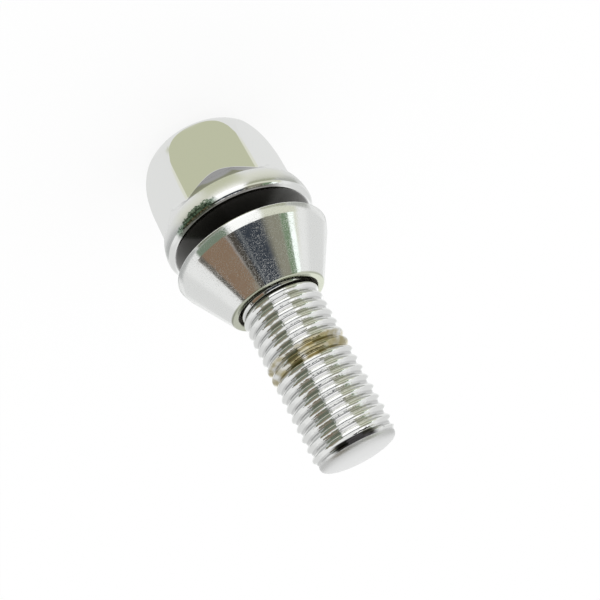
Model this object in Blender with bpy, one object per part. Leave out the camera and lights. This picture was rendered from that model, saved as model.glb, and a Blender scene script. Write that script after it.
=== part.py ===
"""Wheel bolt with a hexagon head, a rolled metric thread and a loose taper collar.

The bolt stands on the flat top of its head. Z = 0 is that face and +Z runs along the
shank to the thread's end, so the flange's underside and the collar's seat face +Z.
All driving sizes are in millimetres and are turned into metres where vertices are made.
"""
import math

import bmesh
import bpy
from mathutils import Vector

MM = 0.001

# Hexagon head
HEX_ACROSS_FLATS = 18.8
HEX_CORNER_ROUND = 0.6
HEAD_HEIGHT = 17.2
TOP_FACE_RADIUS = 4.5

# Crown over the head, a superellipse that just clears the hexagon's corners
CROWN_CLEARANCE = 0.05
CROWN_HEIGHT = 13.3
CROWN_POWER = 4.7

# Round neck between the hexagon and the flange
NECK_TOP_HEIGHT = 6.5
NECK_RIM_HEIGHT = 3.55
NECK_RIM_STEP = 0.45
NECK_HOLLOW_RADIUS = 11.0

# Flange
FLANGE_SWELL = 0.45
FLANGE_EDGE_ROUND = 1.06

# Shank and thread
UNDERHEAD_LENGTH = 36.6
UNDERHEAD_FILLET = 0.6
THREAD_DIAMETER = 11.85
THREAD_PITCH = 1.5
THREAD_DEPTH_PER_PITCH = 0.563
CREST_WIDTH_PER_PITCH = 0.125
FLANK_ANGLE = 30.0
THREAD_TURN = 236.0
BLANK_DROP_PER_DEPTH = 0.56
RUNOUT_LENGTH = 1.5

# Thread's end
END_CHAMFER_ANGLE = 40.0
END_CROWN_HEIGHT = 1.35
END_CROWN_POWER = 2.6

# Taper collar
BORE_CLEARANCE = 0.2
BORE_INNER_CHAMFER = 0.4
MOUTH_FLARE = 0.68
MOUTH_DEPTH = 0.7
END_FACE_WIDTH = 0.62
END_FACE_ROUND = 0.35
CONE_HALF_ANGLE = 30.0
BAND_HALF_ANGLE = 22.0
BAND_LENGTH = 1.2
BAND_EDGE_ROUND = 0.3
RIM_OVERHANG = 0.2

# How far the collar floats along the shank, and the gaps at both ends of its travel
COLLAR_FLOAT = 2.9
SEAT_GAP = 0.3
THREAD_STOP_GAP = 0.3

# Mesh density
FLAT_STEPS = 8
CORNER_STEPS = 2
COLLAR_STEPS = 56
CROWN_STEPS = 6
ARC_STEPS = 4
END_CROWN_STEPS = 5
SMOOTH_ANGLE = 28.0

PLATE_COLOUR = (0.78, 0.79, 0.76, 1.0)

# Worked out from the driving sizes
APOTHEM = HEX_ACROSS_FLATS / 2
HEX_CORNER_RADIUS = (APOTHEM - HEX_CORNER_ROUND) / math.cos(math.pi / 6) + HEX_CORNER_ROUND
CROWN_RADIUS = HEX_CORNER_RADIUS + CROWN_CLEARANCE
RIM_RADIUS = HEX_CORNER_RADIUS + NECK_RIM_STEP
FLANGE_RADIUS = RIM_RADIUS + FLANGE_SWELL
UNDERSIDE_Z = HEAD_HEIGHT
BOLT_LENGTH = HEAD_HEIGHT + UNDERHEAD_LENGTH

CREST_RADIUS = THREAD_DIAMETER / 2
THREAD_DEPTH = THREAD_DEPTH_PER_PITCH * THREAD_PITCH
ROOT_RADIUS = CREST_RADIUS - THREAD_DEPTH
SHANK_RADIUS = CREST_RADIUS - BLANK_DROP_PER_DEPTH * THREAD_DEPTH

BORE_RADIUS = SHANK_RADIUS + BORE_CLEARANCE
MOUTH_RADIUS = BORE_RADIUS + MOUTH_FLARE
CONE_SMALL_RADIUS = MOUTH_RADIUS + END_FACE_WIDTH + END_FACE_ROUND
COLLAR_RADIUS = FLANGE_RADIUS + RIM_OVERHANG
CONE_BIG_RADIUS = COLLAR_RADIUS - BAND_LENGTH * math.tan(math.radians(BAND_HALF_ANGLE))
CONE_LENGTH = (CONE_BIG_RADIUS - CONE_SMALL_RADIUS) / math.tan(math.radians(CONE_HALF_ANGLE))
COLLAR_LENGTH = BAND_EDGE_ROUND + BAND_LENGTH + CONE_LENGTH + END_FACE_ROUND / 2
COLLAR_Z = UNDERSIDE_Z + SEAT_GAP + COLLAR_FLOAT
STOP_Z = COLLAR_Z + COLLAR_LENGTH - MOUTH_DEPTH

# The run-out reaches the bore's radius just past the collar's bore
RUNOUT_SHARE_AT_STOP = min(1.0, BORE_CLEARANCE / (CREST_RADIUS - SHANK_RADIUS))
THREAD_START_Z = STOP_Z + THREAD_STOP_GAP - RUNOUT_LENGTH * RUNOUT_SHARE_AT_STOP
CROWN_END_Z = BOLT_LENGTH - END_CROWN_HEIGHT
CHAMFER_SLOPE = math.tan(math.radians(END_CHAMFER_ANGLE))
CHAMFER_START_Z = CROWN_END_Z - THREAD_DEPTH / CHAMFER_SLOPE
FLANK_SLOPE = 1.0 / math.tan(math.radians(FLANK_ANGLE))


def superellipse(radius, height, power, reach):
    """Height of a superellipse above its base at a given radius."""
    share = min(1.0, reach / radius)
    return height * (1.0 - share ** power) ** (1.0 / power)


def superellipse_run(radius, height, power, first, last, steps):
    """Points (r, height above the base) from radius first to radius last, evenly turned."""
    turn = [math.asin(min(1.0, reach / radius) ** (power / 2)) for reach in (first, last)]
    run = []
    for step in range(steps + 1):
        angle = turn[0] + (turn[1] - turn[0]) * step / steps
        reach = radius * math.sin(angle) ** (2 / power)
        run.append((reach, superellipse(radius, height, power, reach)))
    return run


def arc_run(centre, radius, first_angle, last_angle, steps):
    """Points on an arc in the (r, z) plane, with the angles in radians."""
    run = []
    for step in range(steps + 1):
        angle = first_angle + (last_angle - first_angle) * step / steps
        run.append((centre[0] + radius * math.cos(angle), centre[1] + radius * math.sin(angle)))
    return run


def hexagon_angles():
    """Angles of the mesh columns: one at each end of a flat, some between, some on the corner."""
    half_flat = (APOTHEM - HEX_CORNER_ROUND) * math.tan(math.pi / 6)
    angles = []
    for side in range(6):
        middle = -math.pi / 2 + side * math.pi / 3
        for step in range(FLAT_STEPS + 1):
            along = half_flat * (2 * step / FLAT_STEPS - 1)
            angles.append(middle + math.atan2(along, APOTHEM))
        corner = middle + math.pi / 6
        tangent = math.pi / 6 - math.atan2(half_flat, APOTHEM)
        for step in range(1, CORNER_STEPS):
            angles.append(corner + tangent * (2 * step / CORNER_STEPS - 1))
    return angles


def hexagon_radius(angle):
    """Distance from the axis to the rounded hexagon in the given direction."""
    turn = (angle + math.pi / 2 + math.pi / 6) % (math.pi / 3) - math.pi / 6
    turn = abs(turn)
    flat_reach = APOTHEM / math.cos(turn)
    core = APOTHEM - HEX_CORNER_ROUND
    half_flat = core * math.tan(math.pi / 6)
    if flat_reach * math.sin(turn) <= half_flat + 1e-9:
        return flat_reach
    along = core * math.cos(turn) + half_flat * math.sin(turn)
    beyond = core ** 2 + half_flat ** 2 - HEX_CORNER_ROUND ** 2
    return along + math.sqrt(along ** 2 - beyond)


def crown_run(hex_reach):
    """From the flat top face over the crown to the edge where it meets the hexagon."""
    base = superellipse(CROWN_RADIUS, CROWN_HEIGHT, CROWN_POWER, TOP_FACE_RADIUS)
    run = superellipse_run(CROWN_RADIUS, CROWN_HEIGHT, CROWN_POWER,
                           TOP_FACE_RADIUS, hex_reach, CROWN_STEPS)
    return [(reach, base - height) for reach, height in run]


def neck_arc():
    """Centre of the neck's hollow arc, which leans from the flats down to the flange's rim."""
    top = Vector((APOTHEM, UNDERSIDE_Z - NECK_TOP_HEIGHT))
    rim = Vector((RIM_RADIUS, UNDERSIDE_Z - NECK_RIM_HEIGHT))
    chord = rim - top
    middle = (rim + top) / 2
    rise = math.sqrt(NECK_HOLLOW_RADIUS ** 2 - (chord.length / 2) ** 2)
    outward = Vector((chord.y, -chord.x)).normalized()
    return middle + outward * rise, rim


def neck_run(hex_reach):
    """From the foot of the flat, along the hollow neck, to the flange's rim."""
    centre, rim = neck_arc()
    foot_angle = math.pi - math.acos((centre.x - hex_reach) / NECK_HOLLOW_RADIUS)
    rim_angle = math.atan2(rim.y - centre.y, rim.x - centre.x)
    return arc_run(centre, NECK_HOLLOW_RADIUS, foot_angle, rim_angle, ARC_STEPS)


def flange_run():
    """From the rim, round the swelled flank and the lower edge, to the shank under the head."""
    edge_z = UNDERSIDE_Z - FLANGE_EDGE_ROUND
    rise = edge_z - (UNDERSIDE_Z - NECK_RIM_HEIGHT)
    flank_radius = (rise ** 2 + FLANGE_SWELL ** 2) / (2 * FLANGE_SWELL)
    flank = arc_run((FLANGE_RADIUS - flank_radius, edge_z), flank_radius,
                    -math.asin(rise / flank_radius), 0.0, ARC_STEPS)
    edge = arc_run((FLANGE_RADIUS - FLANGE_EDGE_ROUND, edge_z), FLANGE_EDGE_ROUND,
                   0.0, math.pi / 2, ARC_STEPS)
    fillet_reach = SHANK_RADIUS + UNDERHEAD_FILLET
    fillet = arc_run((fillet_reach, UNDERSIDE_Z + UNDERHEAD_FILLET), UNDERHEAD_FILLET,
                     -math.pi / 2, -math.pi, ARC_STEPS - 1)
    return flank[1:] + edge[1:] + fillet + [(SHANK_RADIUS, THREAD_START_Z)]


def head_column(angle):
    """One (r, z) outline of the head, from its top face to where the thread starts."""
    hex_reach = hexagon_radius(angle)
    return crown_run(hex_reach) + neck_run(hex_reach) + flange_run()


def thread_profile():
    """The four corners of one pitch: (share of the pitch, radius, side of the crest).

    The side is 1 where the crest starts, -1 where it ends and 0 in the root.
    """
    flank = THREAD_DEPTH / FLANK_SLOPE / THREAD_PITCH
    crest = CREST_WIDTH_PER_PITCH
    root = 1.0 - crest - 2 * flank
    return [(0.0, ROOT_RADIUS, 0), (root, ROOT_RADIUS, 0),
            (root + flank, CREST_RADIUS, 1), (root + flank + crest, CREST_RADIUS, -1)]


def thread_corner(radius, z, side):
    """A corner (r, z) after the run-out at the thread's start and the chamfer at its end.

    Where the chamfer's cone cuts a crest off, the crest's corner slides down its flank to it.
    """
    excess = (z - CHAMFER_START_Z) * CHAMFER_SLOPE
    if side and excess > 0:
        slide = excess / (FLANK_SLOPE + side * CHAMFER_SLOPE)
        return radius - slide * FLANK_SLOPE, z - side * slide
    share = max(0.0, min(1.0, (z - THREAD_START_Z) / RUNOUT_LENGTH))
    return SHANK_RADIUS + (radius - SHANK_RADIUS) * share, z


def thread_column(angle):
    """Corners {number: (r, z)} that the right-hand helix puts on one column."""
    profile = thread_profile()
    turned = (angle + math.pi / 2) / (2 * math.pi) + THREAD_TURN / 360
    spare = THREAD_PITCH / 50
    corners = {}
    number = -2 * len(profile)
    while True:
        turn, place = divmod(number, len(profile))
        share, radius, side = profile[place]
        start = THREAD_START_Z + THREAD_PITCH * (turn + turned + share)
        reach, z = thread_corner(radius, start, side)
        if z > CROWN_END_Z - spare:
            return corners
        if z > THREAD_START_Z + spare:
            corners[number] = (reach, z)
        number += 1


def end_column():
    """From the end of the thread's chamfer over the domed end, without its middle."""
    run = superellipse_run(ROOT_RADIUS, END_CROWN_HEIGHT, END_CROWN_POWER,
                           ROOT_RADIUS, ROOT_RADIUS / END_CROWN_STEPS, END_CROWN_STEPS)
    return [(reach, CROWN_END_Z + height) for reach, height in run]


def add_column(mesh, outline, angle):
    """Vertices of one outline turned to the given angle."""
    across, along = math.cos(angle) * MM, math.sin(angle) * MM
    return [mesh.verts.new((reach * across, reach * along, z * MM)) for reach, z in outline]


def bridge_columns(mesh, left, right):
    """Quads between two columns with the same number of vertices."""
    for low in range(len(left) - 1):
        mesh.faces.new((left[low], left[low + 1], right[low + 1], right[low]))


def bridge_thread(mesh, left, right, shift):
    """Faces between two thread columns, joined corner by corner along the helix."""
    start, corners, end = left
    next_start, next_corners, next_end = right
    shared = [number for number in corners if number + shift in next_corners]
    extra_low = [number for number in next_corners if number - shift < shared[0]]
    extra_high = [number for number in corners if number > shared[-1]]
    low = [next_corners[number] for number in extra_low]
    high = [corners[number] for number in extra_high]
    for first, second in zip([next_start] + low, low):
        mesh.faces.new((start, second, first))
    mesh.faces.new((start, corners[shared[0]], next_corners[shared[0] + shift],
                    low[-1] if low else next_start))
    for first, second in zip(shared, shared[1:]):
        mesh.faces.new((corners[first], corners[second],
                        next_corners[second + shift], next_corners[first + shift]))
    mesh.faces.new((corners[shared[-1]], high[0] if high else end,
                    next_end, next_corners[shared[-1] + shift]))
    for first, second in zip(high, high[1:] + [end]):
        mesh.faces.new((first, second, next_end))


def plated_metal(name):
    """Bright chrome plate."""
    material = bpy.data.materials.new(name)
    material.use_nodes = True
    shader = material.node_tree.nodes["Principled BSDF"]
    shader.inputs["Base Color"].default_value = PLATE_COLOUR
    shader.inputs["Metallic"].default_value = 1.0
    shader.inputs["Roughness"].default_value = 0.12
    return material


def add_object(name, mesh, z, parent):
    """A smooth-shaded object from a finished mesh, placed on the bolt's axis."""
    mesh.normal_update()
    data = bpy.data.meshes.new(name)
    mesh.to_mesh(data)
    mesh.free()
    data.shade_smooth()
    data.set_sharp_from_angle(angle=math.radians(SMOOTH_ANGLE))
    data.materials.append(plated_metal(name + "_plate"))
    piece = bpy.data.objects.new(name, data)
    piece.location.z = z * MM
    piece.parent = parent
    bpy.context.scene.collection.objects.link(piece)
    return piece


def make_bolt(parent):
    """Head, flange, shank and rolled thread: one forged and rolled piece."""
    mesh = bmesh.new()
    angles = hexagon_angles()
    heads = [add_column(mesh, head_column(angle), angle) for angle in angles]
    ends = [add_column(mesh, end_column(), angle) for angle in angles]
    threads = []
    for angle, head, end in zip(angles, heads, ends):
        outline = thread_column(angle)
        made = add_column(mesh, outline.values(), angle)
        threads.append((head[-1], dict(zip(outline, made)), end[0]))
    top_middle = mesh.verts.new((0.0, 0.0, 0.0))
    end_middle = mesh.verts.new((0.0, 0.0, BOLT_LENGTH * MM))
    count = len(angles)
    for column in range(count):
        after = (column + 1) % count
        turned = 0 if after else len(thread_profile())
        mesh.faces.new((top_middle, heads[column][0], heads[after][0]))
        bridge_columns(mesh, heads[column], heads[after])
        bridge_thread(mesh, threads[column], threads[after], turned)
        bridge_columns(mesh, ends[column], ends[after])
        mesh.faces.new((end_middle, ends[after][-1], ends[column][-1]))
    bmesh.ops.recalc_face_normals(mesh, faces=mesh.faces)
    return add_object("bolt", mesh, 0.0, parent)


def collar_outline():
    """Closed (r, z) section of the collar, with z = 0 on the face towards the flange."""
    cone_lean = math.radians(CONE_HALF_ANGLE)
    cone_start = BAND_EDGE_ROUND + BAND_LENGTH
    band_edge = arc_run((COLLAR_RADIUS - BAND_EDGE_ROUND, BAND_EDGE_ROUND), BAND_EDGE_ROUND,
                        -math.pi / 2, 0.0, ARC_STEPS)
    end_centre = (CONE_SMALL_RADIUS - END_FACE_ROUND, COLLAR_LENGTH - END_FACE_ROUND)
    end_edge = arc_run(end_centre, END_FACE_ROUND, cone_lean, math.pi / 2, ARC_STEPS)
    return ([(BORE_RADIUS, BORE_INNER_CHAMFER), (BORE_RADIUS + BORE_INNER_CHAMFER, 0.0)]
            + band_edge
            + [(CONE_BIG_RADIUS, cone_start)]
            + end_edge
            + [(MOUTH_RADIUS, COLLAR_LENGTH), (BORE_RADIUS, COLLAR_LENGTH - MOUTH_DEPTH)])


def make_collar(parent):
    """The loose ring with the conical seat: its section spun once round the axis."""
    mesh = bmesh.new()
    outline = collar_outline()
    ring = [mesh.verts.new((reach * MM, 0.0, z * MM)) for reach, z in outline]
    edges = [mesh.edges.new((ring[here - 1], ring[here])) for here in range(len(ring))]
    bmesh.ops.spin(mesh, geom=ring + edges, cent=(0, 0, 0), axis=(0, 0, 1),
                   angle=2 * math.pi, steps=COLLAR_STEPS, use_merge=True)
    bmesh.ops.recalc_face_normals(mesh, faces=mesh.faces)
    return add_object("taper_collar", mesh, COLLAR_Z, parent)


def main():
    for old in list(bpy.data.objects):
        bpy.data.objects.remove(old, do_unlink=True)
    frame = bpy.data.objects.new("wheel_bolt", None)
    bpy.context.scene.collection.objects.link(frame)
    make_bolt(frame)
    make_collar(frame)


main()
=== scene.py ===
"""Looks of a chromed wheel bolt with a loose taper collar, standing on the top of its head.

All shapes are turned or rolled outlines in millimetres round the bolt's axis, which is +Z.
Directions round the axis are given from the camera's own side, counter-clockwise from above.
"""
import math

import bmesh
import bpy
from mathutils import Matrix, Vector


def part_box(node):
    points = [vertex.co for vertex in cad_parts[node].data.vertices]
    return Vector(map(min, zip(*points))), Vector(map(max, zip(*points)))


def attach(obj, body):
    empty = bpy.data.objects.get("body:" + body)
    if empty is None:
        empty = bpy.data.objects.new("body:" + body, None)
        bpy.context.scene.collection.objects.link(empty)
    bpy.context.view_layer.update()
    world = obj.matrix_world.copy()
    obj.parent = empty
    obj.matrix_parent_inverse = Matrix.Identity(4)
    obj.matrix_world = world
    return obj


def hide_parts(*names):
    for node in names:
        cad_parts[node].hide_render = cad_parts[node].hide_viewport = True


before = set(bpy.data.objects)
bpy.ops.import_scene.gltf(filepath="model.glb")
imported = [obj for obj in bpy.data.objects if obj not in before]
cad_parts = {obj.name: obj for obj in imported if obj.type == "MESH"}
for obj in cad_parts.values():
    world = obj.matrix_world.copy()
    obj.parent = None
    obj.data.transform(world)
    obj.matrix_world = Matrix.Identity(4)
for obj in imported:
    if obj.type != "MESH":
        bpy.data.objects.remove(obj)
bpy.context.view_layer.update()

MM = 0.001

# Camera: where it stands round the bolt, where it looks, and how far it is rolled
CAMERA_SIDE = -84.6
CAMERA_DISTANCE = 89.80
CAMERA_HEIGHT = 67.68
CAMERA_HEADING = 97.19
CAMERA_DIP = 22.67
CAMERA_ROLL = 151.29
CAMERA_LENS = 41.34
CAMERA_SENSOR = 36.0
CAMERA_NEAR = 0.001

# Hexagon head, with its crown, neck and flange
HEX_ACROSS_FLATS = 18.8
HEX_CORNER_ROUND = 0.6
HEAD_HEIGHT = 17.2
TOP_FACE_RADIUS = 4.5
CROWN_CLEARANCE = 0.05
CROWN_HEIGHT = 13.3
CROWN_POWER = 4.7
CROWN_EDGE_ROUND = 0.35
NECK_TOP_HEIGHT = 6.5
NECK_EDGE_ROUND = 0.3
NECK_RIM_HEIGHT = 3.55
NECK_RIM_STEP = 0.45
NECK_RIM_ROUND = 0.2
NECK_HOLLOW_RADIUS = 11.0
FLANGE_SWELL = 0.45
FLANGE_EDGE_ROUND = 1.06
UNDERHEAD_FILLET = 0.6

# Thread
THREAD_DIAMETER = 11.85
THREAD_PITCH = 1.5
THREAD_DEPTH = 0.5
CREST_SHARE = 0.6125
CREST_FULLNESS = 1.3
THREAD_TURN = 236.0
SHANK_DROP = 0.473
THREAD_START_Z = 28.1
RUNOUT_LENGTH = 1.5
END_CHAMFER_ANGLE = 40.0
END_CROWN_HEIGHT = 1.35
END_CROWN_POWER = 2.3

# Taper collar
BORE_RADIUS = 5.652
BORE_INNER_CHAMFER = 0.4
MOUTH_RADIUS = 6.33
MOUTH_DEPTH = 0.7
MOUTH_EDGE_ROUND = 0.12
END_FACE_ROUND = 0.35
CONE_SMALL_RADIUS = 7.30
CONE_HALF_ANGLE = 30.0
CONE_BIG_RADIUS = 11.37
CONE_EDGE_ROUND = 0.2
BAND_LENGTH = 1.2
BAND_EDGE_ROUND = 0.3

# Mesh density
FLAT_STEPS = 24
CORNER_STEPS = 8
COLLAR_STEPS = 192
CROWN_STEPS = 18
NECK_STEPS = 10
FLANK_STEPS = 8
ROUND_STEPS = 4
SMALL_ROUND_STEPS = 3
PROFILE_STEPS = 16
END_CROWN_STEPS = 16
SMOOTH_ANGLE = 40.0
DISC_STEPS = 64

# Margins that keep small corners and the ends of the mesh columns sound
SMALLEST_CORNER = 0.02
CORNER_EDGE_SHARE = 0.45
ROUNDING_ERROR = 1e-9
COLUMN_END_SPARE = THREAD_PITCH / 200

# Chrome plate, and colours laid on it: painted shade, painted reflections and a stain
WHITE = (1.0, 1.0, 1.0, 1.0)
CHROME = (0.88, 0.88, 0.875, 1.0)
# Painted shade, near black: the head's underside, the shank and the collar's back and bore, between
# the parts
SHADE_BLACK = (0.105, 0.1, 0.087, 1.0)
# Painted shade, grey: the hollow neck and the thread's roots
SHADE_GREY = (0.36, 0.355, 0.36, 1.0)
# Painted reflection: two greens for the mottled patch on the flange's lower edge
REFLECTED_GREEN = (0.34, 0.42, 0.34, 1.0)
REFLECTED_DARK_GREEN = (0.075, 0.105, 0.08, 1.0)
# Painted shade: dark, for the flange's lip next to the collar
LIP_SHADE = (0.15, 0.14, 0.13, 1.0)
END_SHADE = (0.05, 0.047, 0.05, 1.0)
# Painted reflection: cream and olive for the collar's end ring
RING_REFLECTION_CREAM = (0.56, 0.58, 0.48, 1.0)
RING_REFLECTION_OLIVE = (0.34, 0.35, 0.28, 1.0)
STAIN = (0.36, 0.3, 0.13, 1.0)

# Relief and roughness of the plate: noise in lumps to a millimetre, heights in mm
LUMP_SCALE = 0.7
LUMP_HEIGHT = 0.006
GRAIN_SCALE = 5.0
GRAIN_HEIGHT = 0.0011
WAVE_SCALE = 1.3
WAVE_HEIGHT = 0.04
WAVE_EDGE = 0.4
CHROME_ROUGHNESS = 0.07
PATCHY_SCALE = 0.45
PATCHY_ROUGHNESS = 0.06
WORN_ROUGHNESS = 0.5
FINE_DETAIL = 3.0
FINEST_DETAIL = 4.0

# Where the painted shade, the painted reflections, the stain and the rougher places are. A side is
# (middle, half width, soft edge) in degrees round from the camera's side. Heights are in mm, and
# those that are called drops are measured from the flange's underside, down the head when
# negative. Pairs are where a fade starts and ends.

# Painted shade in the hollow neck, and the flank of the flange
NECK_SIDE = (-5.0, 33.0, 14.0)
NECK_OUTSIDE = (0.02, 0.12)
NECK_EDGE = 0.1
FLANK_BAND = (-0.5 * (NECK_RIM_HEIGHT + 1.0), 1.2, 0.5)
FLANK_WORN = 0.5

# Painted reflection of a mottled dark green patch, and painted shade along the lip, on the flange's
# lower edge
EDGE_END_DROPS = (0.3, 0.1)
EDGE_LUMP_SCALE = 2.2
EDGE_SPECK_SCALE = 4.0
EDGE_SPECKS = (0.38, 0.58)
PATCH_SIDE = (24.0, 19.0, 6.0)
PATCH_TOP_SIDE = 19.0
PATCH_SLANT = 0.035
PATCH_REACH = 1.75
PATCH_RAGGED = 1.5
PATCH_FADE = (0.0, 0.12)
LIP_SIDE = (0.0, 42.0, 16.0)
LIP_REACH = 0.4
LIP_RAGGED = 0.4
LIP_FADE = (-0.06, 0.08)
LIP_STRENGTH = 0.85

# Painted shade on the flange's underside and on the shank, eased further down the shank
GAP_EDGE = 0.2
GAP_SHADE_EASING_DROPS = (3.0, 7.0)
GAP_SHADE_EASING = 0.2

# Painted shade in the roots of the thread and in its last groove, and the end face
ROOT_START = 1.0
ROOT_ABOVE = (0.2, 0.04)
ROOT_SHADE = 0.38
LAST_GROOVE_BAND = (0.46, 0.4, 0.1)
LAST_GROOVE_SIDE = (-4.0, 31.0, 16.0)
END_FACE_EDGE = 0.1
END_FACE_WORN = 0.8

# Stain that follows the thread
STAIN_START_DROP = 20.5
STAIN_LENGTH = 2.7
STAIN_EDGE = 0.5
STAIN_SIDE = (0.0, 110.0, 60.0)
STAIN_WANDER_SCALE = 1.4
STAIN_WANDER = 0.5
STAIN_PATCHY_SCALE = 0.5
STAIN_PATCHES = (0.25, 0.6)
STAIN_STRENGTH = 0.9

# Collar: painted shade on its back and in its bore, a painted reflection on its end ring, specks on
# its cone
COLLAR_BACK_EDGE = 0.1
BORE_INSIDE = (0.05, 0.2)
RING_BELOW = (0.3, 0.1)
RING_TINT_SIDES = (0.0, 70.0)
SPECK_SCALE = 7.5
SPECKS = (0.48, 0.62)
SPECK_AREA_SCALE = 0.5
SPECK_AREAS = (0.15, 0.5)
SPECK_STRENGTH = 0.46

# Low surroundings that the chrome mirrors, in degrees round from the camera's side:
# (side, half width, soft edge, colour, brightness)
SKIRT_PATCHES = [
    (-9, 21, 6, (255, 255, 255), 1.15),
    (40, 22, 5, (112, 117, 102), 1.0),
    (-54, 20, 8, (158, 161, 140), 1.0),
    (-93, 19, 12, (168, 170, 165), 1.0),
    (95, 30, 14, (172, 174, 173), 1.0),
]
# Their place in the world in degrees above level, and on the card in mm from the axis
SKIRT_HEIGHT = (-31, 21, 6)
SKIRT_REACH = (44.5, 17, 3)

# The rest of the surroundings, also in degrees above level:
# (side, half width, soft edge, height, half height, soft edge, colour, brightness)
ROOM_COLOUR = (228, 229, 228)
ROOM_PATCHES = [
    (180, 31, 10, 22, 32, 14, (230, 231, 231), 1.36),
    (128, 25, 14, 14, 26, 12, (214, 215, 214), 1.0),
    (-128, 25, 14, 14, 26, 12, (214, 215, 214), 1.0),
    (44, 26, 8, 48, 14, 4, (146, 148, 136), 1.0),
    (-57, 23, 8, 41, 12, 4, (176, 178, 164), 1.0),
    (-88, 28, 12, 70, 11, 5, (255, 255, 255), 1.1),
    (-12, 24, 8, 5, 15, 5, (244, 245, 243), 1.08),
    (-60, 26, 8, 5, 15, 5, (208, 210, 193), 1.0),
    (42, 26, 5, 5, 15, 5, (112, 126, 110), 1.0),
    (48, 26, 7, 25, 12, 3, (129, 108, 89), 1.0),
    (-46, 16, 8, 25, 13, 3, (132, 130, 116), 1.0),
    (-67, 7, 5, 25, 12, 2, (112, 132, 106), 1.0),
    (-77, 4.5, 2, 25, 13, 3, (246, 255, 250), 1.1),
    (-8, 27, 16, 30, 12, 3, (52, 58, 66), 1.0),
    (15, 6, 5, 30, 12, 3, (66, 62, 56), 1.0),
    (71, 4, 3, 28, 12, 3, (92, 90, 84), 1.0),
    (3, 1.5, 4, 30, 12, 3, (108, 112, 114), 1.0),
]

# How much brighter the surroundings are for the chrome, which takes some of the light away
CHROME_GAIN = 1.12

# The floor: its radius in metres, and how much of the shadow on it is kept
FLOOR_RADIUS = 2.0
SHADOW_SHARE = 0.18

# A card under the head that only the chrome sees, in mm, with patches on it:
# (side, half width, soft edge, distance from the axis, half width, soft edge, colour)
CARD_RADIUS = 60.0
CARD_DEPTH = 0.3
CARD_COLOUR = (221, 222, 221)
CARD_PATCHES = [
    (-10, 78, 30, 26, 6, 6, (217, 218, 205)),
    (-7.0, 24.5, 3, 20.2, 8.6, 1.5, (187, 190, 164)),
    (20, 10, 8, 14.2, 2.6, 1.5, (187, 190, 164)),
]

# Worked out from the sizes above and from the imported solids
APOTHEM = HEX_ACROSS_FLATS / 2
HEX_CORNER_RADIUS = (APOTHEM - HEX_CORNER_ROUND) / math.cos(math.pi / 6) + HEX_CORNER_ROUND
CROWN_RADIUS = HEX_CORNER_RADIUS + CROWN_CLEARANCE
RIM_RADIUS = HEX_CORNER_RADIUS + NECK_RIM_STEP
FLANGE_RADIUS = RIM_RADIUS + FLANGE_SWELL
BOLT_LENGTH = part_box("bolt")[1].z / MM
CREST_RADIUS = THREAD_DIAMETER / 2
ROOT_RADIUS = CREST_RADIUS - THREAD_DEPTH
SHANK_RADIUS = CREST_RADIUS - SHANK_DROP
CHAMFER_SLOPE = math.tan(math.radians(END_CHAMFER_ANGLE))
CROWN_END_Z = BOLT_LENGTH - END_CROWN_HEIGHT
CHAMFER_START_Z = CROWN_END_Z - THREAD_DEPTH / CHAMFER_SLOPE
COLLAR_LOW_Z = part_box("taper_collar")[0].z / MM
COLLAR_HIGH_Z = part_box("taper_collar")[1].z / MM
COLLAR_RADIUS = (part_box("taper_collar")[1].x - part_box("taper_collar")[0].x) / 2 / MM


def arc_run(centre, radius, first_angle, last_angle, steps):
    """Points on an arc in the (r, z) plane, with the angles in radians."""
    run = []
    for step in range(steps + 1):
        angle = first_angle + (last_angle - first_angle) * step / steps
        run.append((centre[0] + radius * math.cos(angle), centre[1] + radius * math.sin(angle)))
    return run


def rounded_corner(before, corner, after, radius, steps):
    """Points of a small arc that replaces one corner of an outline."""
    corner = Vector(corner)
    back = Vector(before) - corner
    ahead = Vector(after) - corner
    half = max(SMALLEST_CORNER, back.angle(ahead) / 2)
    reach = min(radius / math.tan(half), CORNER_EDGE_SHARE * back.length,
                CORNER_EDGE_SHARE * ahead.length)
    start = corner + back.normalized() * reach
    end = corner + ahead.normalized() * reach
    run = []
    for step in range(steps + 1):
        share = step / steps
        first = start.lerp(corner, share)
        second = corner.lerp(end, share)
        run.append(tuple(first.lerp(second, share)))
    return run


def superellipse(radius, height, power, reach):
    """Height of a superellipse above its base at a given radius."""
    share = min(1.0, reach / radius)
    return height * (1.0 - share ** power) ** (1.0 / power)


def superellipse_run(radius, height, power, first, last, steps):
    """Points (r, height above the base) from radius first to radius last, evenly turned."""
    turn = [math.asin(min(1.0, reach / radius) ** (power / 2)) for reach in (first, last)]
    run = []
    for step in range(steps + 1):
        angle = turn[0] + (turn[1] - turn[0]) * step / steps
        reach = radius * math.sin(angle) ** (2 / power)
        run.append((reach, superellipse(radius, height, power, reach)))
    return run


def hexagon_angles():
    """Angles of the mesh columns, evenly along each flat and round each corner."""
    half_flat = (APOTHEM - HEX_CORNER_ROUND) * math.tan(math.pi / 6)
    tangent = math.pi / 6 - math.atan2(half_flat, APOTHEM)
    angles = []
    for side in range(6):
        middle = -math.pi / 2 + side * math.pi / 3
        for step in range(FLAT_STEPS + 1):
            along = half_flat * (2 * step / FLAT_STEPS - 1)
            angles.append(middle + math.atan2(along, APOTHEM))
        for step in range(1, CORNER_STEPS):
            angles.append(middle + math.pi / 6 + tangent * (2 * step / CORNER_STEPS - 1))
    return angles


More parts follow.
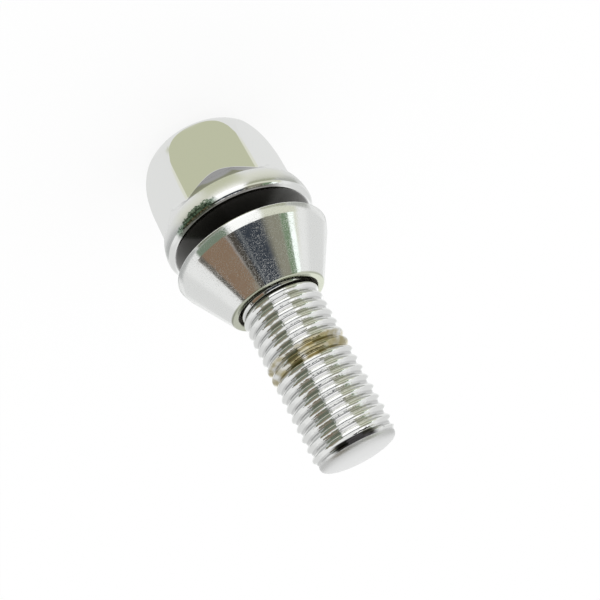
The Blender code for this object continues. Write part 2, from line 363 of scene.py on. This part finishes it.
def hexagon_radius(angle):
    """Distance from the axis to the rounded hexagon in the given direction."""
    turn = abs((angle + math.pi / 2 + math.pi / 6) % (math.pi / 3) - math.pi / 6)
    flat_reach = APOTHEM / math.cos(turn)
    core = APOTHEM - HEX_CORNER_ROUND
    half_flat = core * math.tan(math.pi / 6)
    if flat_reach * math.sin(turn) <= half_flat + ROUNDING_ERROR:
        return flat_reach
    along = core * math.cos(turn) + half_flat * math.sin(turn)
    beyond = core ** 2 + half_flat ** 2 - HEX_CORNER_ROUND ** 2
    return along + math.sqrt(along ** 2 - beyond)


def crown_run(hex_reach):
    """From the flat top face over the crown to the edge where it meets the hexagon."""
    base = superellipse(CROWN_RADIUS, CROWN_HEIGHT, CROWN_POWER, TOP_FACE_RADIUS)
    run = superellipse_run(CROWN_RADIUS, CROWN_HEIGHT, CROWN_POWER,
                           TOP_FACE_RADIUS, hex_reach, CROWN_STEPS)
    return [(reach, base - height) for reach, height in run]


def neck_run(hex_reach):
    """From the foot of the flat, along the hollow neck, to the flange's rim."""
    top = Vector((APOTHEM, HEAD_HEIGHT - NECK_TOP_HEIGHT))
    rim = Vector((RIM_RADIUS, HEAD_HEIGHT - NECK_RIM_HEIGHT))
    chord = rim - top
    rise = math.sqrt(NECK_HOLLOW_RADIUS ** 2 - (chord.length / 2) ** 2)
    centre = (rim + top) / 2 + Vector((chord.y, -chord.x)).normalized() * rise
    foot_angle = math.pi - math.acos((centre.x - hex_reach) / NECK_HOLLOW_RADIUS)
    rim_angle = math.atan2(rim.y - centre.y, rim.x - centre.x)
    return arc_run(centre, NECK_HOLLOW_RADIUS, foot_angle, rim_angle, NECK_STEPS)


def flank_run():
    """The flange's swelled flank, from the rim to the lower edge's rounding."""
    edge_z = HEAD_HEIGHT - FLANGE_EDGE_ROUND
    rise = edge_z - (HEAD_HEIGHT - NECK_RIM_HEIGHT)
    radius = (rise ** 2 + FLANGE_SWELL ** 2) / (2 * FLANGE_SWELL)
    return arc_run((FLANGE_RADIUS - radius, edge_z), radius,
                   -math.asin(rise / radius), 0.0, FLANK_STEPS)


def underside_run():
    """Round the flange's lower edge and in along its underside to the shank."""
    edge_z = HEAD_HEIGHT - FLANGE_EDGE_ROUND
    edge = arc_run((FLANGE_RADIUS - FLANGE_EDGE_ROUND, edge_z), FLANGE_EDGE_ROUND,
                   0.0, math.pi / 2, 2 * ROUND_STEPS)
    fillet = arc_run((SHANK_RADIUS + UNDERHEAD_FILLET, HEAD_HEIGHT + UNDERHEAD_FILLET),
                     UNDERHEAD_FILLET, -math.pi / 2, -math.pi, ROUND_STEPS)
    return edge[1:] + fillet + [(SHANK_RADIUS, THREAD_START_Z)]


def head_column(angle):
    """One (r, z) outline of the head, from its top face to where the thread starts."""
    hex_reach = hexagon_radius(angle)
    crown = crown_run(hex_reach)
    neck = neck_run(hex_reach)
    flank = flank_run()
    crown_edge = rounded_corner(crown[-3], crown[-1], neck[0], CROWN_EDGE_ROUND, ROUND_STEPS)
    foot = rounded_corner(crown[-1], neck[0], neck[2], NECK_EDGE_ROUND, SMALL_ROUND_STEPS)
    rim = rounded_corner(neck[-2], neck[-1], flank[1], NECK_RIM_ROUND, SMALL_ROUND_STEPS)
    return crown[:-2] + crown_edge + foot + neck[2:-1] + rim + flank[1:] + underside_run()


def thread_profile():
    """Points of one pitch of the rounded thread: (distance along the axis, radius)."""
    profile = []
    for step in range(PROFILE_STEPS):
        share = step / PROFILE_STEPS
        drop = (1 - math.cos(2 * math.pi * (share - CREST_SHARE))) / 2
        profile.append((share * THREAD_PITCH, CREST_RADIUS - THREAD_DEPTH * drop ** CREST_FULLNESS))
    return profile


PROFILE = thread_profile()


def thread_radius(radius, z):
    """A radius after the run-out at the thread's start and the chamfer at its end."""
    limit = CREST_RADIUS - max(0.0, z - CHAMFER_START_Z) * CHAMFER_SLOPE
    share = max(0.0, min(1.0, (z - THREAD_START_Z) / RUNOUT_LENGTH))
    return min(limit, SHANK_RADIUS + (radius - SHANK_RADIUS) * share)


def thread_column(angle):
    """Corners {number: (r, z)} that the right-hand helix puts on one column."""
    turned = (angle + math.pi / 2) / (2 * math.pi) + THREAD_TURN / 360
    corners = {}
    number = -2 * len(PROFILE)
    last_z = THREAD_START_Z + COLUMN_END_SPARE
    while True:
        turn, place = divmod(number, len(PROFILE))
        along, radius = PROFILE[place]
        z = THREAD_START_Z + THREAD_PITCH * (turn + turned) + along
        if z > CROWN_END_Z - COLUMN_END_SPARE:
            return corners
        if z > last_z:
            corners[number] = (thread_radius(radius, z), z)
        number += 1


def end_column():
    """From the end of the thread's chamfer over the domed end, without its middle."""
    run = superellipse_run(ROOT_RADIUS, END_CROWN_HEIGHT, END_CROWN_POWER,
                           ROOT_RADIUS, ROOT_RADIUS / END_CROWN_STEPS, END_CROWN_STEPS)
    return [(reach, CROWN_END_Z + height) for reach, height in run]


def add_column(mesh, outline, angle):
    """Vertices of one outline turned to the given angle."""
    across, along = math.cos(angle) * MM, math.sin(angle) * MM
    return [mesh.verts.new((reach * across, reach * along, z * MM)) for reach, z in outline]


def bridge_columns(mesh, left, right):
    """Quads between two columns with the same number of vertices."""
    for low in range(len(left) - 1):
        mesh.faces.new((left[low], left[low + 1], right[low + 1], right[low]))


def bridge_thread(mesh, left, right, shift):
    """Faces between two thread columns, joined corner by corner along the helix."""
    start, corners, end = left
    next_start, next_corners, next_end = right
    shared = [number for number in corners if number + shift in next_corners]
    extra_low = [number for number in next_corners if number - shift < shared[0]]
    extra_high = [number for number in corners if number > shared[-1]]
    low = [next_corners[number] for number in extra_low]
    high = [corners[number] for number in extra_high]
    for first, second in zip([next_start] + low, low):
        mesh.faces.new((start, second, first))
    mesh.faces.new((start, corners[shared[0]], next_corners[shared[0] + shift],
                    low[-1] if low else next_start))
    for first, second in zip(shared, shared[1:]):
        mesh.faces.new((corners[first], corners[second],
                        next_corners[second + shift], next_corners[first + shift]))
    mesh.faces.new((corners[shared[-1]], high[0] if high else end,
                    next_end, next_corners[shared[-1] + shift]))
    for first, second in zip(high, high[1:] + [end]):
        mesh.faces.new((first, second, next_end))


def add_object(name, mesh, material):
    """A smooth-shaded object from a finished mesh."""
    bmesh.ops.recalc_face_normals(mesh, faces=mesh.faces)
    data = bpy.data.meshes.new(name)
    mesh.to_mesh(data)
    mesh.free()
    data.shade_smooth()
    data.set_sharp_from_angle(angle=math.radians(SMOOTH_ANGLE))
    data.materials.append(material)
    piece = bpy.data.objects.new(name, data)
    bpy.context.scene.collection.objects.link(piece)
    return piece


def make_bolt(material):
    """Head, flange, shank and rolled thread in one mesh."""
    mesh = bmesh.new()
    angles = hexagon_angles()
    heads = [add_column(mesh, head_column(angle), angle) for angle in angles]
    ends = [add_column(mesh, end_column(), angle) for angle in angles]
    threads = []
    for angle, head, end in zip(angles, heads, ends):
        outline = thread_column(angle)
        made = add_column(mesh, outline.values(), angle)
        threads.append((head[-1], dict(zip(outline, made)), end[0]))
    top_middle = mesh.verts.new((0.0, 0.0, 0.0))
    end_middle = mesh.verts.new((0.0, 0.0, BOLT_LENGTH * MM))
    count = len(angles)
    for column in range(count):
        after = (column + 1) % count
        shift = 0 if after else len(PROFILE)
        mesh.faces.new((top_middle, heads[column][0], heads[after][0]))
        bridge_columns(mesh, heads[column], heads[after])
        bridge_thread(mesh, threads[column], threads[after], shift)
        bridge_columns(mesh, ends[column], ends[after])
        mesh.faces.new((end_middle, ends[after][-1], ends[column][-1]))
    return add_object("chromed_bolt", mesh, material)


def collar_outline():
    """Closed (r, z) section of the collar."""
    cone_start = COLLAR_LOW_Z + BAND_EDGE_ROUND + BAND_LENGTH
    cone_lean = math.radians(CONE_HALF_ANGLE)
    band_edge = arc_run((COLLAR_RADIUS - BAND_EDGE_ROUND, COLLAR_LOW_Z + BAND_EDGE_ROUND),
                        BAND_EDGE_ROUND, -math.pi / 2, 0.0, 2 * ROUND_STEPS)
    end_centre = (CONE_SMALL_RADIUS - END_FACE_ROUND, COLLAR_HIGH_Z - END_FACE_ROUND)
    end_edge = arc_run(end_centre, END_FACE_ROUND, cone_lean, math.pi / 2, 2 * ROUND_STEPS)
    cone_edge = rounded_corner(band_edge[-1], (CONE_BIG_RADIUS, cone_start), end_edge[0],
                               CONE_EDGE_ROUND, SMALL_ROUND_STEPS)
    mouth = (MOUTH_RADIUS, COLLAR_HIGH_Z)
    throat = (BORE_RADIUS, COLLAR_HIGH_Z - MOUTH_DEPTH)
    mouth_edge = rounded_corner(end_edge[-1], mouth, throat, MOUTH_EDGE_ROUND, SMALL_ROUND_STEPS)
    return ([(BORE_RADIUS, COLLAR_LOW_Z + BORE_INNER_CHAMFER),
             (BORE_RADIUS + BORE_INNER_CHAMFER, COLLAR_LOW_Z)]
            + band_edge + cone_edge + end_edge + mouth_edge + [throat])


def make_collar(material):
    """The loose ring with the conical seat, its section turned round the axis."""
    mesh = bmesh.new()
    outline = collar_outline()
    turns = [2 * math.pi * step / COLLAR_STEPS for step in range(COLLAR_STEPS)]
    rings = [add_column(mesh, outline, turn) for turn in turns]
    for column in range(COLLAR_STEPS):
        after = (column + 1) % COLLAR_STEPS
        bridge_columns(mesh, rings[column] + rings[column][:1], rings[after] + rings[after][:1])
    return add_object("chromed_collar", mesh, material)


def chrome_start(name):
    """A chrome material's tree, and a place on the piece in mm: vector, side, height, reach."""
    material = bpy.data.materials.new(name)
    material.use_nodes = True
    tree = material.node_tree
    metres = add_node(tree, "ShaderNodeTexCoord").outputs["Object"]
    place = add_node(tree, "ShaderNodeVectorMath", [(0, metres), (3, 1 / MM)],
                     operation="SCALE").outputs[0]
    height = add_node(tree, "ShaderNodeSeparateXYZ", [(0, place)]).outputs["Z"]
    flat = add_node(tree, "ShaderNodeVectorMath", [(0, place), (1, (1.0, 1.0, 0.0))],
                    operation="MULTIPLY").outputs[0]
    reach = add_node(tree, "ShaderNodeVectorMath", [(0, flat)], operation="LENGTH").outputs["Value"]
    return material, place, side_of(tree, place), height, reach


def side_of(tree, vector):
    """Degrees round the axis from the camera's side, for a place or a direction."""
    turned = add_node(tree, "ShaderNodeVectorRotate",
                      [("Vector", vector), ("Angle", -math.radians(CAMERA_SIDE))],
                      rotation_type="Z_AXIS").outputs[0]
    parts = add_node(tree, "ShaderNodeSeparateXYZ", [(0, turned)])
    turn = calculate(tree, "ARCTAN2", parts.outputs["Y"], parts.outputs["X"])
    return calculate(tree, "DEGREES", turn)


def noise(tree, place, scale, detail=2.0):
    """A soft random value from 0 to 1, with so many lumps to a millimetre."""
    return add_node(tree, "ShaderNodeTexNoise",
                    [("Vector", place), ("Scale", scale), ("Detail", detail)]).outputs[0]


def fade(tree, value, first, last):
    """0 up to the first value and 1 from the last one on, whichever is the larger."""
    ramp = add_node(tree, "ShaderNodeMapRange",
                    [("Value", value), ("From Min", first), ("From Max", last)],
                    interpolation_type="SMOOTHSTEP")
    return ramp.outputs[0]


def product(tree, *values):
    """All the values multiplied."""
    result = values[0]
    for value in values[1:]:
        result = calculate(tree, "MULTIPLY", result, value)
    return result


def shifted(tree, value, shift, noise_value, spread):
    """The value plus a shift, and plus or minus half the spread by a random value."""
    wander = calculate(tree, "MULTIPLY", noise_value, spread)
    return calculate(tree, "ADD", value, calculate(tree, "ADD", wander, shift - spread / 2))


def blend(tree, factor, first, second):
    """A colour between two others."""
    node = add_node(tree, "ShaderNodeMix", [("Factor", factor), (6, first), (7, second)],
                    data_type="RGBA")
    return node.outputs[2]


def chrome_finish(material, place, colour, painted_shade, worn, waves=0.0):
    """Join a chrome's colour, its painted shade, its worn spots and its waves, and roughen it
    finely.
    """
    tree = material.node_tree
    shader = tree.nodes["Principled BSDF"]
    shader.inputs["Metallic"].default_value = 1.0
    lumps = noise(tree, place, LUMP_SCALE)
    grain = noise(tree, place, GRAIN_SCALE, FINE_DETAIL)
    rise = calculate(tree, "ADD", calculate(tree, "MULTIPLY", lumps, LUMP_HEIGHT),
                     calculate(tree, "MULTIPLY", grain, GRAIN_HEIGHT))
    rise = calculate(tree, "ADD", rise, waves)
    bump = add_node(tree, "ShaderNodeBump", [("Height", rise), ("Distance", MM)])
    tree.links.new(bump.outputs[0], shader.inputs["Normal"])
    tree.links.new(blend(tree, painted_shade, colour, SHADE_BLACK), shader.inputs["Base Color"])
    tree.links.new(blend(tree, painted_shade, WHITE, SHADE_BLACK), shader.inputs["Specular Tint"])
    patchy = calculate(tree, "MULTIPLY", noise(tree, place, PATCHY_SCALE, FINEST_DETAIL),
                       PATCHY_ROUGHNESS)
    dulled = calculate(tree, "MAXIMUM", calculate(tree, "MULTIPLY", worn, WORN_ROUGHNESS), painted_shade)
    rough = calculate(tree, "ADD", CHROME_ROUGHNESS - PATCHY_ROUGHNESS / 2,
                      calculate(tree, "ADD", patchy, dulled))
    tree.links.new(rough, shader.inputs["Roughness"])
    return material


def hexagon_reach(tree, place):
    """Distance from the axis, measured square to the nearest flat of the hexagon."""
    positive = add_node(tree, "ShaderNodeVectorMath", [(0, place)], operation="ABSOLUTE").outputs[0]
    parts = add_node(tree, "ShaderNodeSeparateXYZ", [(0, positive)])
    across, along = parts.outputs["X"], parts.outputs["Y"]
    slanted = calculate(tree, "ADD", calculate(tree, "MULTIPLY", across, math.cos(math.pi / 6)),
                        calculate(tree, "MULTIPLY", along, math.sin(math.pi / 6)))
    return calculate(tree, "MAXIMUM", along, slanted)


def flange_edge_colour(tree, place, side, drop, colour):
    """Painted reflection of a mottled dark patch and painted shade along the lip on the flange's
    lower edge, drop being negative on it.
    """
    below = fade(tree, drop, *EDGE_END_DROPS)
    lump = noise(tree, place, EDGE_LUMP_SCALE)
    speck = fade(tree, noise(tree, place, EDGE_SPECK_SCALE, FINE_DETAIL), *EDGE_SPECKS)
    away = calculate(tree, "ABSOLUTE", calculate(tree, "SUBTRACT", side, PATCH_TOP_SIDE))
    front = calculate(tree, "SUBTRACT", drop, calculate(tree, "MULTIPLY", away, PATCH_SLANT))
    front = shifted(tree, front, PATCH_REACH, lump, PATCH_RAGGED)
    patch = product(tree, fade(tree, front, *PATCH_FADE), soft_band(tree, side, *PATCH_SIDE),
                    below)
    lip = product(tree, fade(tree, shifted(tree, drop, LIP_REACH, lump, LIP_RAGGED), *LIP_FADE),
                  soft_band(tree, side, *LIP_SIDE), below, LIP_STRENGTH)
    # Painted reflection: the mottled green patch
    colour = blend(tree, patch, colour, blend(tree, speck, REFLECTED_DARK_GREEN, REFLECTED_GREEN))
    # Painted shade along the lip
    return blend(tree, lip, colour, LIP_SHADE)


def thread_colour(tree, place, side, height, reach, colour):
    """Painted shade in the roots and the last groove, and a stain that follows the helix."""
    # Painted shade in the roots of the thread
    root = product(tree, fade(tree, height, THREAD_START_Z, THREAD_START_Z + ROOT_START),
                   fade(tree, reach, *(ROOT_RADIUS + above for above in ROOT_ABOVE)), ROOT_SHADE)
    colour = blend(tree, root, colour, SHADE_GREY)
    # Painted shade: a dark band round the last groove, on the camera's side
    below_end, half, edge = LAST_GROOVE_BAND
    last = product(tree, soft_band(tree, height, CROWN_END_Z - below_end, half, edge),
                   soft_band(tree, side, *LAST_GROOVE_SIDE))
    colour = blend(tree, last, colour, END_SHADE)
    helix = calculate(tree, "SUBTRACT", height,
                      calculate(tree, "MULTIPLY", side, THREAD_PITCH / 360))
    helix = shifted(tree, helix, 0.0, noise(tree, place, STAIN_WANDER_SCALE), STAIN_WANDER)
    middle = HEAD_HEIGHT + STAIN_START_DROP + STAIN_LENGTH / 2
    stain = product(tree, soft_band(tree, helix, middle, STAIN_LENGTH / 2, STAIN_EDGE),
                    soft_band(tree, side, *STAIN_SIDE),
                    fade(tree, noise(tree, place, STAIN_PATCHY_SCALE), *STAIN_PATCHES),
                    STAIN_STRENGTH)
    return blend(tree, stain, colour, STAIN)


def bolt_material():
    """Chrome with painted shade on the neck, a painted reflection on the flange's edge, near-black
    painted shade under the head and a stain.
    """
    material, place, side, height, reach = chrome_start("bolt_plate")
    tree = material.node_tree
    drop = calculate(tree, "SUBTRACT", height, HEAD_HEIGHT)
    # Painted shade in the hollow neck, on the camera's side
    neck = product(tree, fade(tree, hexagon_reach(tree, place),
                              *(APOTHEM + outside for outside in NECK_OUTSIDE)),
                   fade(tree, drop, NECK_EDGE - NECK_RIM_HEIGHT, -NECK_EDGE - NECK_RIM_HEIGHT),
                   soft_band(tree, side, *NECK_SIDE))
    colour = blend(tree, neck, CHROME, SHADE_GREY)
    colour = flange_edge_colour(tree, place, side, drop, colour)
    colour = thread_colour(tree, place, side, height, reach, colour)
    # Painted shade from the head's underside down the shank, a little lighter further down
    shade_eased = calculate(tree, "MULTIPLY", fade(tree, drop, *GAP_SHADE_EASING_DROPS), GAP_SHADE_EASING)
    gap = product(tree, soft_zone(tree, height, HEAD_HEIGHT, THREAD_START_Z, GAP_EDGE),
                  calculate(tree, "SUBTRACT", 1.0, shade_eased))
    face = product(tree, fade(tree, height, CROWN_END_Z - END_FACE_EDGE, CROWN_END_Z),
                   END_FACE_WORN)
    flank = product(tree, soft_band(tree, drop, *FLANK_BAND), FLANK_WORN)
    waves = product(tree, soft_zone(tree, height, THREAD_START_Z, CROWN_END_Z, WAVE_EDGE),
                    noise(tree, place, WAVE_SCALE), WAVE_HEIGHT)
    return chrome_finish(material, place, colour, gap, calculate(tree, "MAXIMUM", face, flank),
                         waves)


def collar_material():
    """Chrome with a speckled cone, a painted reflection on its end ring, and painted shade on its
    back and in its bore.
    """
    material, place, side, height, reach = chrome_start("collar_plate")
    tree = material.node_tree
    # Painted shade on the collar's back and in its bore
    back = fade(tree, height, COLLAR_LOW_Z + COLLAR_BACK_EDGE, COLLAR_LOW_Z)
    bore = fade(tree, reach, *(MOUTH_RADIUS - inside for inside in BORE_INSIDE))
    painted_shade = calculate(tree, "MAXIMUM", back, bore)
    # Painted reflection on the end ring, cream on the camera's side turning olive round from it
    ring = fade(tree, height, *(COLLAR_HIGH_Z - below for below in RING_BELOW))
    tint = blend(tree, fade(tree, side, *RING_TINT_SIDES), RING_REFLECTION_CREAM, RING_REFLECTION_OLIVE)
    specks = product(tree, fade(tree, noise(tree, place, SPECK_SCALE, FINE_DETAIL), *SPECKS),
                     fade(tree, noise(tree, place, SPECK_AREA_SCALE), *SPECK_AREAS),
                     SPECK_STRENGTH)
    return chrome_finish(material, place, blend(tree, ring, CHROME, tint), painted_shade, specks)


def make_camera():
    """A camera at the photograph's place, heading and roll."""
    data = bpy.data.cameras.new("camera")
    data.sensor_width = CAMERA_SENSOR
    data.lens = CAMERA_LENS
    data.clip_start = CAMERA_NEAR
    camera = bpy.data.objects.new("camera", data)
    bpy.context.scene.collection.objects.link(camera)
    side = math.radians(CAMERA_SIDE)
    camera.location = Vector((CAMERA_DISTANCE * math.cos(side),
                              CAMERA_DISTANCE * math.sin(side), CAMERA_HEIGHT)) * MM
    heading = math.radians(CAMERA_HEADING)
    dip = math.radians(CAMERA_DIP)
    ahead = Vector((math.cos(heading) * math.cos(dip), math.sin(heading) * math.cos(dip),
                    -math.sin(dip)))
    level = ahead.to_track_quat("-Z", "Y").to_matrix()
    camera.rotation_euler = (level @ Matrix.Rotation(math.radians(CAMERA_ROLL), 3, "Z")).to_euler()
    bpy.context.scene.camera = camera


def add_disc(name, radius, height, material):
    """A level disc round the axis."""
    mesh = bmesh.new()
    bmesh.ops.create_circle(mesh, cap_ends=True, segments=DISC_STEPS, radius=radius,
                            matrix=Matrix.Translation((0.0, 0.0, height)))
    data = bpy.data.meshes.new(name)
    mesh.to_mesh(data)
    mesh.free()
    data.materials.append(material)
    disc = bpy.data.objects.new(name, data)
    bpy.context.scene.collection.objects.link(disc)
    return disc


def make_floor():
    """A plain white floor, on which the bolt's shadow is faint."""
    material = bpy.data.materials.new("pale_floor")
    material.use_nodes = True
    tree = material.node_tree
    shader = tree.nodes["Principled BSDF"]
    shader.inputs["Base Color"].default_value = WHITE
    shader.inputs["Roughness"].default_value = 1.0
    shader.inputs["Specular IOR Level"].default_value = 0.0
    seen = add_node(tree, "ShaderNodeLightPath").outputs["Is Camera Ray"]
    white = add_node(tree, "ShaderNodeEmission", [("Color", WHITE)])
    mixed = add_node(tree, "ShaderNodeMixShader",
                     [(0, calculate(tree, "MULTIPLY", seen, 1 - SHADOW_SHARE)),
                      (1, shader.outputs[0]), (2, white.outputs[0])])
    tree.links.new(mixed.outputs[0], tree.nodes["Material Output"].inputs["Surface"])
    floor = add_disc("floor", FLOOR_RADIUS, 0.0, material)
    floor.visible_glossy = False


def make_card():
    """A tinted card just under the head, which only the chrome sees."""
    material = bpy.data.materials.new("card")
    material.use_nodes = True
    tree = material.node_tree
    tree.nodes.remove(tree.nodes["Principled BSDF"])
    place = add_node(tree, "ShaderNodeTexCoord").outputs["Object"]
    side = side_of(tree, place)
    length = add_node(tree, "ShaderNodeVectorMath", [(0, place)], operation="LENGTH")
    reach = calculate(tree, "DIVIDE", length.outputs["Value"], MM)
    colour = srgb(*CARD_COLOUR)
    skirt = soft_band(tree, reach, *SKIRT_REACH)
    for patch in SKIRT_PATCHES:
        mask = product(tree, soft_band(tree, side, *patch[:3]), skirt)
        colour = blend(tree, mask, colour, glow(*patch[3:]))
    for patch in CARD_PATCHES:
        mask = product(tree, soft_band(tree, side, *patch[:3]), soft_band(tree, reach, *patch[3:6]))
        colour = blend(tree, mask, colour, srgb(*patch[6]))
    light = add_node(tree, "ShaderNodeEmission", [("Color", colour), ("Strength", CHROME_GAIN)])
    tree.links.new(light.outputs[0], tree.nodes["Material Output"].inputs["Surface"])
    card = add_disc("card", CARD_RADIUS * MM, -CARD_DEPTH * MM, material)
    card.visible_camera = False
    card.visible_diffuse = False
    card.visible_transmission = False
    card.visible_shadow = False


def add_node(tree, kind, inputs=(), **settings):
    """A node with its settings and its inputs, each a value or another node's output."""
    node = tree.nodes.new(kind)
    for name, value in settings.items():
        setattr(node, name, value)
    for socket, value in inputs:
        if isinstance(value, bpy.types.NodeSocket):
            tree.links.new(value, node.inputs[socket])
        else:
            node.inputs[socket].default_value = value
    return node


def calculate(tree, operation, first, second=0.0):
    """The output of one Math node. WRAP keeps the first value within plus and minus the second."""
    inputs = [(0, first), (1, second)]
    if operation == "WRAP":
        inputs.append((2, -second))
    node = add_node(tree, "ShaderNodeMath", inputs, operation=operation)
    return node.outputs[0]


def soft_band(tree, value, middle, half, edge):
    """1 where value lies within half of middle, fading to 0 over the edge's width."""
    offset = calculate(tree, "ABSOLUTE", calculate(tree, "SUBTRACT", value, middle))
    ramp = add_node(tree, "ShaderNodeMapRange",
                    [("Value", offset),
                     ("From Min", half - edge / 2), ("From Max", half + edge / 2),
                     ("To Min", 1.0), ("To Max", 0.0)], interpolation_type="SMOOTHSTEP")
    return ramp.outputs[0]


def soft_zone(tree, value, low, high, edge):
    """1 where value lies between low and high, fading to 0 over the edge's width."""
    return soft_band(tree, value, (low + high) / 2, (high - low) / 2, edge)


def srgb(red, green, blue):
    """A colour given as it looks on a screen, from 0 to 255, as a linear colour."""
    channels = [channel / 255 for channel in (red, green, blue)]
    return tuple(channel / 12.92 if channel <= 0.04045 else ((channel + 0.055) / 1.055) ** 2.4
                 for channel in channels) + (1.0,)


def glow(colour, brightness):
    """A screen colour made brighter or darker, as a linear colour."""
    return tuple(channel * brightness for channel in srgb(*colour)[:3]) + (1.0,)


def make_world():
    """A white room for the eye and the light, and softly shaded surroundings for the chrome."""
    world = bpy.data.worlds.new("studio")
    bpy.context.scene.world = world
    world.use_nodes = True
    tree = world.node_tree
    tree.nodes.clear()
    direction = add_node(tree, "ShaderNodeTexCoord").outputs["Generated"]
    side = side_of(tree, direction)
    rise = add_node(tree, "ShaderNodeSeparateXYZ", [(0, direction)]).outputs["Z"]
    height = calculate(tree, "DEGREES", calculate(tree, "ARCSINE", rise))
    colour = srgb(*ROOM_COLOUR)
    skirt = [patch[:3] + SKIRT_HEIGHT + patch[3:] for patch in SKIRT_PATCHES]
    for patch in skirt + ROOM_PATCHES:
        off = calculate(tree, "WRAP", calculate(tree, "SUBTRACT", side, patch[0]), 180.0)
        mask = product(tree, soft_band(tree, off, 0.0, *patch[1:3]),
                       soft_band(tree, height, *patch[3:6]))
        colour = blend(tree, mask, colour, glow(*patch[6:]))
    glossy = add_node(tree, "ShaderNodeLightPath").outputs["Is Glossy Ray"]
    shown = blend(tree, glossy, WHITE, colour)
    strength = calculate(tree, "ADD", 1.0, calculate(tree, "MULTIPLY", glossy, CHROME_GAIN - 1))
    background = add_node(tree, "ShaderNodeBackground", [("Color", shown), ("Strength", strength)])
    output = add_node(tree, "ShaderNodeOutputWorld")
    tree.links.new(background.outputs[0], output.inputs["Surface"])


def main():
    bpy.context.scene.view_settings.view_transform = "Standard"
    bolt = make_bolt(bolt_material())
    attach(bolt, "bolt")
    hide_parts("bolt")
    collar = make_collar(collar_material())
    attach(collar, "collar")
    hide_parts("taper_collar")
    make_camera()
    make_floor()
    make_card()
    make_world()


main()
